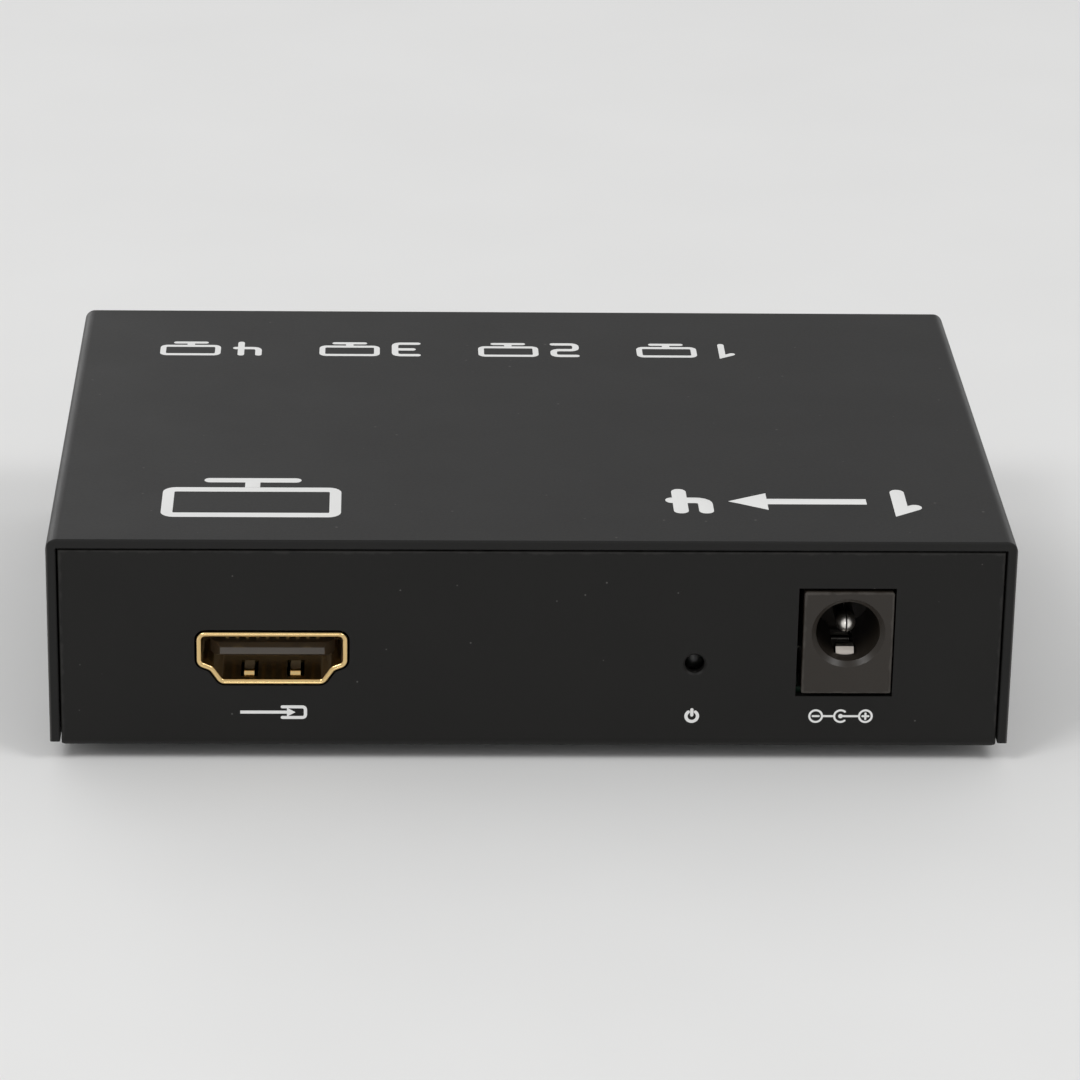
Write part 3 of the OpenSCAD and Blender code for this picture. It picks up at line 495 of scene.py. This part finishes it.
def rimSection(v):
    # (growth, depth) of the rim: an arc, a slope over the width that is left and a second arc, all meeting
    # without a corner, and then the eased rear edge of the lip
    inner, outer = v["innerRound"], v["outerRound"]
    flare, turn = np.radians(v["flare"]), 270 - v["flare"]
    slope = v["lip"] - outer * (1 + np.sin(flare)) - inner * (1 - np.sin(flare))
    deep = outer * (1 - np.cos(flare)) + slope * np.tan(flare) + inner * np.cos(flare)
    rimIn = roundArc((inner, deep), inner, 180, turn, v["innerSteps"])
    rimOut = roundArc((v["lip"] - outer, outer), outer, turn, 360, v["outerSteps"])
    rear = np.array([v["lip"], v["lipLength"]]) - v["lipBack"] * np.array([(0, 1), (1 / 3, 1 / 3), (1, 0)])
    return np.vstack([rimIn, rimOut, rear])


def offTab(x, upper, lower, v):
    # distance from the middle of the nearer tab on the same wall: the size of |x| less the tab's place
    return np.abs(np.abs(x) - v["upperTab"]) * upper + np.abs(np.abs(x) - v["lowerTab"]) * lower


def shellSurface(v):
    # section from the inner rear end, forward over the flared rim, and back along the outside;
    # cells of the tabs' slots are left out and walled, and the tabs lean inwards by
    # bulge = a smooth rise over the ramp x a straight fall to the free end
    base, normal = stations(v)
    y0, y1 = v["tabY"]
    depth = np.concatenate([[v["lipLength"]], np.linspace(y0, y0 + v["tabRamp"], v["rampSteps"]),
                            np.linspace(v["leafStart"], y1, v["leafSteps"]), [y1 + v["tabSlot"]],
                            np.linspace(v["rearStart"], v["length"], v["rearSteps"])])
    rim = rimSection(v)
    grow = np.concatenate([np.zeros(len(depth)), rim[:, 0], np.full(len(depth), v["wall"])])
    y = np.concatenate([depth[::-1], rim[:, 1], depth])
    rows, cols, stops = len(base), len(y), len(depth)
    innerCol = stops - 1 - np.arange(stops)
    outerCol = cols - stops + np.arange(stops)
    onWall = (np.arange(cols) < stops) | (np.arange(cols) >= cols - stops)

    upper, lower = normal[:, 1] > flatWall, normal[:, 1] < -flatWall
    onTab = (upper | lower) & (offTab(base[:, 0], upper, lower, v) < v["tabWidth"] / 2 + slack)
    rise = np.clip((y - y0) / v["tabRamp"], 0, 1)
    fall = np.clip((y1 - y) / (y1 - y0 - v["tabRamp"]), 0, 1)
    height = v["tabBulge"] * rise ** 2 * (3 - 2 * rise)
    bulge = height * (v["tabEnd"] + (1 - v["tabEnd"]) * fall) * (y < y1 + slack)
    reach = v["cornerR"] + grow[None, :] - onTab[:, None] * bulge * onWall
    flatXz = base[:, None] + reach[..., None] * normal[:, None]
    points = np.stack([flatXz[..., 0], np.broadcast_to(y, (rows, cols)), flatXz[..., 1]], -1).reshape(-1, 3)

    # a cell is cut where both its sides lie on a slot: beside a tab, or behind its free end
    after = (np.arange(rows) + 1) % rows
    midOff = offTab((base + base[after])[:, 0] / 2, upper, lower, v)
    sameWall = (upper & upper[after]) | (lower & lower[after])
    inSlot = sameWall & (midOff < v["tabWidth"] / 2 + v["tabSlot"])
    beside = inSlot & (midOff > v["tabWidth"] / 2)
    cellY = (depth[:-1] + depth[1:]) / 2
    along = (cellY > y0) & (cellY < y1 + v["tabSlot"])
    behind = (cellY > y1) & along
    cut = (beside[:, None] & along) | (inSlot[:, None] & behind)

    quads = gridFaces(rows, cols, True, True)
    kept = np.ones(rows * cols, bool)
    r, d = np.nonzero(cut)
    kept[r * cols + innerCol[d + 1]] = False
    kept[r * cols + outerCol[d]] = False
    side, dep = np.nonzero(cut != cut[np.roll(np.arange(rows), 1)])
    sideWalls = np.stack([side * cols + innerCol[dep], side * cols + innerCol[dep + 1],
                          side * cols + outerCol[dep + 1], side * cols + outerCol[dep]], 1)
    r2, d2 = np.nonzero(cut[:, 1:] != cut[:, :-1])
    endWalls = np.stack([r2 * cols + innerCol[d2 + 1], after[r2] * cols + innerCol[d2 + 1],
                         after[r2] * cols + outerCol[d2 + 1], r2 * cols + outerCol[d2 + 1]], 1)
    return points, np.vstack([quads[kept], sideWalls, endWalls])


def shellLegs(v):
    # four flat legs: a thin rectangle carried down from the middle of the wall, narrower at its tip
    corner = np.array([(-1, -1), (1, -1), (1, 1), (-1, 1)]) / 2 * [v["wall"], v["legWidth"]]
    z = np.array([v["legTop"], v["legEnd"] + v["legTaper"], v["legEnd"]])
    width = np.array([(1.0, 1.0), (1.0, 1.0), (1.0, v["legTip"])])
    count = len(z) * len(corner)
    first = np.arange(len(corner))
    ends = np.stack([first, first + count - len(corner)])
    tall = np.broadcast_to(z[:, None, None], (len(z), len(corner), 1))
    points, faces = [], []
    for sx in (-1, 1):
        for y in v["legY"]:
            ring = corner[None] * width[:, None] + [sx * v["legX"], y]
            start = count * len(points)
            points.append(np.concatenate([ring, tall], -1).reshape(-1, 3))
            faces += [gridFaces(len(z), len(corner), False, True, start), start + ends]
    return np.vstack(points), np.vstack(faces)


def socketMouth(node, facing):
    # middle of the opening in the plane of the mouth; the box's top is core, corner and lip above it
    low, high = boxOf(node)
    above = max(z for x, z in shell["core"]) + shell["cornerR"] + shell["lip"]
    return np.array([(low[0] + high[0]) / 2, low[1] if facing < 0 else high[1], high[2] - above])


def placedShell(name, node, facing):
    # the input faces -Y; an output is the same shell turned half round
    tube, tubeFaces = shellSurface(shell)
    legs, legFaces = shellLegs(shell)
    points = np.vstack([tube, legs]) * [-facing, -facing, 1] + socketMouth(node, facing)
    makePiece(name, points, np.vstack([tubeFaces, legFaces + len(tube)]), goldPlate, "gold_plate", (node,))


placedShell("inputShell", "input_socket_shell", -1)
for i in outputs:
    placedShell(f"outputShell{i}", f"output_socket_shell_{i}", 1)
print("socket shells made")


# rubber feet: a section turned about an upright axis
pad = {"radius": 4.0, "height": 1.5, "topEdge": (0.1, 0.12), "soft": 0.45, "softSteps": 7, "draft": 0.12,
       "dish": 0.12, "dishRadius": 2.3, "dishSteps": 6, "x": 40.0, "y": 26.0, "around": 56}


def footPads(v):
    # (r, z) runs from the top's middle, over the side with its round lower edge, into the shallow dish
    inset, drop = v["topEdge"]
    top = [(0, v["height"]), (v["radius"] - inset, v["height"]), (v["radius"], v["height"] - drop)]
    edge = roundArc((v["radius"] - v["draft"] - v["soft"], v["soft"]), v["soft"], 0, -90, v["softSteps"])
    dish = np.linspace(1, 0, v["dishSteps"])[:, None]
    hollow = np.hstack([v["dishRadius"] * dish, v["dish"] * (1 - dish ** 2)])
    section = np.vstack([top, edge, hollow])
    a = np.linspace(0, 2 * np.pi, v["around"], endpoint=False)
    ring = np.stack([np.cos(a)[:, None] * section[:, 0], np.sin(a)[:, None] * section[:, 0],
                     np.broadcast_to(section[:, 1], (len(a), len(section)))], -1).reshape(-1, 3)
    places = np.array([(sx * v["x"], sy * v["y"], 0) for sx in (-1, 1) for sy in (-1, 1)])
    points = (places[:, None] + ring).reshape(-1, 3)
    faces = [gridFaces(len(a), len(section), True, False, k * len(ring)) for k in range(len(places))]
    return points, np.vstack(faces)


makePiece("footPads", *footPads(pad), footRubber, "foot_rubber", ("rubber_feet",))
print("feet made")


# print: every mark is a set of ribbons of ink, low and flat on the coat
ink = {"lift": 0.010, "sink": 0.010, "shoulder": 0.94, "layer": 0.002, "layers": 5, "sharp": 25.0,
       "endTurn": 78, "endSteps": 6, "cornerSteps": 6}


def ribbon(path, half, closed=False):
    # edges = path plus and minus half x mitred normal; the section is a low trapezoid carried along the path
    path = np.asarray(path, float)
    half = np.broadcast_to(np.asarray(half, float), len(path))
    step = np.roll(path, -1, 0) - path if closed else np.diff(path, axis=0)
    side = np.stack([-step[:, 1], step[:, 0]], 1) / np.linalg.norm(step, axis=1, keepdims=True)
    before = np.roll(side, 1, 0) if closed else np.vstack([side[:1], side])
    after = side if closed else np.vstack([side, side[-1:]])
    out = (before + after) / (1 + np.sum(before * after, 1, keepdims=True)) * half[:, None]
    across = np.array([-1, -ink["shoulder"], ink["shoulder"], 1])
    height = np.array([-ink["sink"], ink["lift"], ink["lift"], -ink["sink"]])
    count = len(across)
    flat = path[:, None] + out[:, None] * across[:, None]
    tall = np.broadcast_to(height[:, None], (len(path), count, 1))
    points = np.concatenate([flat, tall], -1).reshape(-1, 3)
    faces = gridFaces(len(path), count, closed, True)
    if not closed:
        first = np.arange(count)[None]
        faces = np.vstack([faces, first, first + count * (len(path) - 1)])
    return points, faces


def roundEnds(path, half):
    # the width falls as a cosine and the path runs on as a sine, so both ends are half circles
    path = np.asarray(path, float)
    t = np.radians(np.linspace(0, ink["endTurn"], ink["endSteps"]))[1:]
    first = (path[0] - path[1]) / np.linalg.norm(path[0] - path[1])
    last = (path[-1] - path[-2]) / np.linalg.norm(path[-1] - path[-2])
    lead = path[0] + first * half * np.sin(t)[::-1, None]
    tail = path[-1] + last * half * np.sin(t)[:, None]
    widths = np.concatenate([half * np.cos(t)[::-1], np.full(len(path), half), half * np.cos(t)])
    return ribbon(np.vstack([lead, path, tail]), widths)


def softCorners(points, r):
    # each inner corner p becomes the curve (1-t)^2 (p - r in) + 2t(1-t) p + t^2 (p + r out)
    p = np.asarray(points, float)
    ahead = np.diff(p, axis=0)
    ahead /= np.linalg.norm(ahead, axis=1, keepdims=True)
    t = np.linspace(0, 1, ink["cornerSteps"])[None, :, None]
    q = p[1:-1, None]
    start, end = q - r * ahead[:-1, None], q + r * ahead[1:, None]
    curve = (1 - t) ** 2 * start + 2 * t * (1 - t) * q + t ** 2 * end
    return np.vstack([p[:1], curve.reshape(-1, 2), p[-1:]])


def softFrame(w, h, r, at):
    # a closed rectangle with round corners about its middle
    corners = [((w / 2 - r) * sx, (h / 2 - r) * sy) for sx, sy in ((1, 1), (-1, 1), (-1, -1), (1, -1))]
    steps = ink["cornerSteps"]
    return np.vstack([roundArc(np.add(c, at), r, 90 * k, 90 * k + 90, steps) for k, c in enumerate(corners)])


# plain wide figures: width and corner are shares of the height, the rest shares of the figure's own box
figure = {"width": 0.72, "corner": 0.16, "flag": (0.12, 0.80), "stem": 0.55, "bar": 0.22, "post": 0.78,
          "cross": 0.9}


def digit(number, h, half, at):
    # lines with round ends on a box h tall, about its middle
    w, r = figure["width"] * h - 2 * half, figure["corner"] * h
    t, m = h - 2 * half, (h - 2 * half) / 2
    flag, stem = (figure["flag"][0] * w, t * figure["flag"][1]), figure["stem"] * w
    bar, post, cross = figure["bar"] * w, figure["post"] * w, m * figure["cross"]
    lines = {1: [[flag, (stem, t), (stem, 0)]],
             2: [softCorners([(0, t), (w, t), (w, m), (0, m), (0, 0), (w, 0)], r)],
             3: [softCorners([(0, t), (w, t), (w, 0), (0, 0)], r), [(bar, m), (w, m)]],
             4: [softCorners([(0, t), (0, cross), (w, cross)], r), [(post, t), (post, 0)]]}[number]
    shift = np.add(at, (-w / 2, half - h / 2))
    return [roundEnds(np.asarray(line) + shift, half) for line in lines]


# a display: share of its height in the frame, corner as a share of the line plus mm, neck and foot as shares
screenShape = {"frame": 0.76, "corner": (0.9, 0.2), "neck": 1.3, "foot": 0.24}


def screen(w, h, half, at):
    # a round-cornered frame, a neck and a foot
    x, y = at
    frameH = h * screenShape["frame"]
    top = y + h / 2 - frameH / 2
    foot = y - h / 2 + half
    share, more = screenShape["corner"]
    reach = w * screenShape["foot"]
    return [ribbon(softFrame(w - 2 * half, frameH - 2 * half, share * half + more, (x, top)), half, True),
            ribbon([(x, top - frameH / 2), (x, foot)], half * screenShape["neck"]),
            roundEnds([(x - reach, foot), (x + reach, foot)], half)]


arrowShape = {"headLength": 1.7, "tip": 0.02}


def arrow(a, b, half, head):
    # a straight line with a tapering head at its end
    a, b = np.asarray(a, float), np.asarray(b, float)
    tip = arrowShape["tip"]
    way = (b - a) / np.linalg.norm(b - a)
    neck = b - way * head * arrowShape["headLength"]
    return [ribbon([a, neck + way * tip], half), ribbon([neck, b - way * tip], [head, tip])]


def printMark(name, ribbons, origin, right, up):
    # marks drawn in (right, up) lie on the plane through origin; right x up points out of the surface;
    # each stroke lies a layer above the last, so that crossing strokes never share a plane
    right, up = np.array(right, float), np.array(up, float)
    axes = np.stack([right, up, np.cross(right, up)])
    starts = np.cumsum([0] + [len(p) for p, f in ribbons[:-1]])
    layer = [k % ink["layers"] * ink["layer"] for k in range(len(ribbons))]
    raised = np.vstack([p + [0, 0, h] for (p, f), h in zip(ribbons, layer)])
    faces = np.vstack([f + s for (p, f), s in zip(ribbons, starts)])
    makePiece(name, raised @ axes + np.asarray(origin, float), faces, printInk, sharp=ink["sharp"])


trayLow, trayHigh = boxOf("base_tray")
coverHigh = boxOf("top_cover")[1]
frontPanel = {"origin": (0, trayLow[1], 0), "right": (1, 0, 0), "up": (0, 0, 1)}
rearPanel = {"origin": (0, trayHigh[1], 0), "right": (-1, 0, 0), "up": (0, 0, 1)}
# the marks on top read from the output side
coverTop = {"origin": (0, 0, coverHigh[2]), "right": (-1, 0, 0), "up": (0, -1, 0)}

inputSign = {"at": (-25.7, 5.40), "height": 1.5, "half": 0.17, "bracket": (0.9, 3.2), "corner": 0.35,
             "arrow": (-3.3, 2.2), "head": 0.5}


def inputMark(v):
    # an arrow that runs into an open bracket
    x, z = v["at"]
    h = v["height"] / 2 - v["half"]
    mouth, back = x + v["bracket"][0], x + v["bracket"][1]
    tail, tip = x + v["arrow"][0], x + v["arrow"][1]
    bracket = softCorners([(mouth, z + h), (back, z + h), (back, z - h), (mouth, z - h)], v["corner"])
    return [roundEnds(bracket, v["half"])] + arrow((tail, z), (tip, z), v["half"], v["head"])


lampSign = {"at": (16.15, 5.05), "height": 1.5, "half": 0.17, "ring": (128, 412), "ringSteps": 30,
            "stroke": 0.12}


def lampMark(v):
    # the standby sign: a ring open at the top with a stroke in the gap
    at = np.array(v["at"])
    r = v["height"] / 2 - v["half"]
    ring = roundEnds(roundArc(at, r, *v["ring"], v["ringSteps"]), v["half"])
    return [ring, roundEnds([at + (0, v["stroke"]), at + (0, r + v["stroke"])], v["half"])]


jackSign = {"at": (31.1, 5.08), "height": 1.5, "half": 0.11, "apart": 2.5, "bar": 0.3,
            "ringEnd": 345, "ringSteps": 24, "sleeve": (50, 310), "sleeveSteps": 26,
            "point": 0.12, "pointHalf": 0.119, "pointSteps": 20}


def jackMark(v):
    # the polarity sign: minus ring, sleeve arc, centre point, plus ring
    at, half, bar = np.array(v["at"]), v["half"], v["bar"]
    r = v["height"] / 2 - half
    left, right = at - (v["apart"], 0), at + (v["apart"], 0)
    rings = [ribbon(roundArc(c, r, 0, v["ringEnd"], v["ringSteps"]), half, True) for c in (left, right)]
    bars = [((-bar, 0), (bar, 0), left), ((-bar, 0), (bar, 0), right), ((0, -bar), (0, bar), right)]
    signs = [roundEnds([np.add(c, a), np.add(c, b)], half) for a, b, c in bars]
    sleeve = roundEnds(roundArc(at, r, *v["sleeve"], v["sleeveSteps"]), half)
    links = [ribbon([left + (r, 0), at - (r, 0)], half), ribbon([at, right - (r, 0)], half)]
    point = ribbon(roundArc(at, v["point"], 0, v["ringEnd"], v["pointSteps"]), v["pointHalf"], True)
    return rings + signs + [sleeve, point] + links


outputSign = {"z": 5.40, "height": 1.6, "half": 0.16}


def outputMark(v):
    # each output's number under its socket; from behind, right is -X
    marks = []
    for i in outputs:
        x = -socketMouth(f"output_socket_shell_{i}", 1)[0]
        marks += digit(i, v["height"], v["half"], (x, v["z"]))
    return marks


topRow = {"first": -24.0, "last": 39.1, "y": -21.4, "height": 4.4, "half": 0.36, "gap": 1.3,
          "screenWidth": 6.6, "screenLine": 0.9}


def rowMark(v):
    # a figure and a display for each output, spread evenly along the row
    number = figure["width"] * v["height"]
    wide = number + v["gap"] + v["screenWidth"]
    starts = np.linspace(v["first"], v["last"] - wide, len(outputs))
    marks = []
    for i, u in zip(outputs, starts):
        marks += digit(i, v["height"], v["half"], (u + number / 2, v["y"]))
        marks += screen(v["screenWidth"], v["height"], v["half"] * v["screenLine"],
                        (u + wide - v["screenWidth"] / 2, v["y"]))
    return marks


ratio = {"start": -39.3, "end": -13.6, "y": 23.2, "height": 6.6, "half": 0.75, "head": 2.3, "gap": 1.6,
         "one": 0.8}


def ratioMark(v):
    # one to four: a figure, an arrow and a figure in broad strokes; the one takes less width
    wide, y = figure["width"] * v["height"], v["y"]
    tail, tip = v["start"] + v["one"] * wide + v["gap"], v["end"] - wide - v["gap"]
    one = digit(1, v["height"], v["half"], (v["start"] + wide * v["one"] / 2, y))
    four = digit(4, v["height"], v["half"], (v["end"] - wide / 2, y))
    return one + arrow((tail, y), (tip, y), v["half"], v["head"]) + four


display = {"w": 18.0, "h": 10.6, "half": 0.6, "at": (28.0, 22.6)}

printMark("inputPrint", inputMark(inputSign), **frontPanel)
printMark("lampPrint", lampMark(lampSign), **frontPanel)
printMark("jackPrint", jackMark(jackSign), **frontPanel)
printMark("outputPrint", outputMark(outputSign), **rearPanel)
printMark("topRowPrint", rowMark(topRow), **coverTop)
printMark("ratioPrint", ratioMark(ratio), **coverTop)
printMark("displayPrint", screen(**display), **coverTop)
print("print laid on")


# floor, sky and lamps
floorLook = {"half": 3.0, "count": 13, "drop": 0.01, "tones": ((0.78, 0.78, 0.775), (0.82, 0.82, 0.815)),
             "rough": (0.75, 0.9), "scale": 900.0, "depth": 0.01, "lift": 0.2}


def paleFloor(v):
    # a wide sheet just under the feet: z = -drop on an even grid
    line = np.linspace(-v["half"], v["half"], v["count"])
    x, y = np.meshgrid(line, line, indexing="ij")
    points = np.stack([x, y, np.full_like(x, -v["drop"] * mm)], -1).reshape(-1, 3)
    mesh = bpy.data.meshes.new("floor")
    mesh.from_pydata(points.tolist(), [], gridFaces(v["count"], v["count"]).tolist())
    mesh.flip_normals()
    mesh.materials.append(finish("floorPaper", v))
    floor = bpy.data.objects.new("floor", mesh)
    bpy.context.scene.collection.objects.link(floor)


skyStrength = 0.60


def softSky(strength):
    # even light from all round
    world = bpy.data.worlds.new("softSky")
    bpy.context.scene.world = world
    world.use_nodes = True
    tree = world.node_tree
    tree.nodes.clear()
    sky = add(tree, "Background", {"Color": (1, 1, 1, 1), "Strength": strength})
    tree.links.new(sky.outputs[0], add(tree, "OutputWorld").inputs[0])


# places and sizes in metres, power in watts
lamps = [{"name": "leftKey", "at": (-0.55, -0.50, 0.85), "size": 0.35, "power": 2.8},
         {"name": "rightKey", "at": (0.62, -0.42, 0.85), "size": 0.35, "power": 2.5},
         {"name": "frontPanelLight", "at": (-0.10, -1.05, 0.14), "size": 0.24, "power": 0.6},
         {"name": "leftBack", "at": (-0.50, 1.00, 0.50), "size": 0.80, "power": 1.5},
         {"name": "leftFold", "at": (-0.45, 1.05, 0.13), "size": 0.24, "power": 0.6},
         {"name": "rightFold", "at": (0.50, 1.05, 0.13), "size": 0.24, "power": 0.5}]


def areaLamp(v):
    # a square lamp that faces the origin: back is the direction of its place, right lies level
    data = bpy.data.lights.new(v["name"], "AREA")
    data.shape = "SQUARE"
    data.size = v["size"]
    data.energy = v["power"]
    lamp = bpy.data.objects.new(v["name"], data)
    bpy.context.scene.collection.objects.link(lamp)
    back = np.array(v["at"]) / np.linalg.norm(v["at"])
    right = np.cross([0, 0, 1.0], back)
    right /= np.linalg.norm(right)
    place = np.eye(4)
    place[:3, :4] = np.stack([right, np.cross(back, right), back, np.array(v["at"])], 1)
    lamp.matrix_world = Matrix(place.tolist())


paleFloor(floorLook)
softSky(skyStrength)
for lampLook in lamps:
    areaLamp(lampLook)
print("floor and light set")
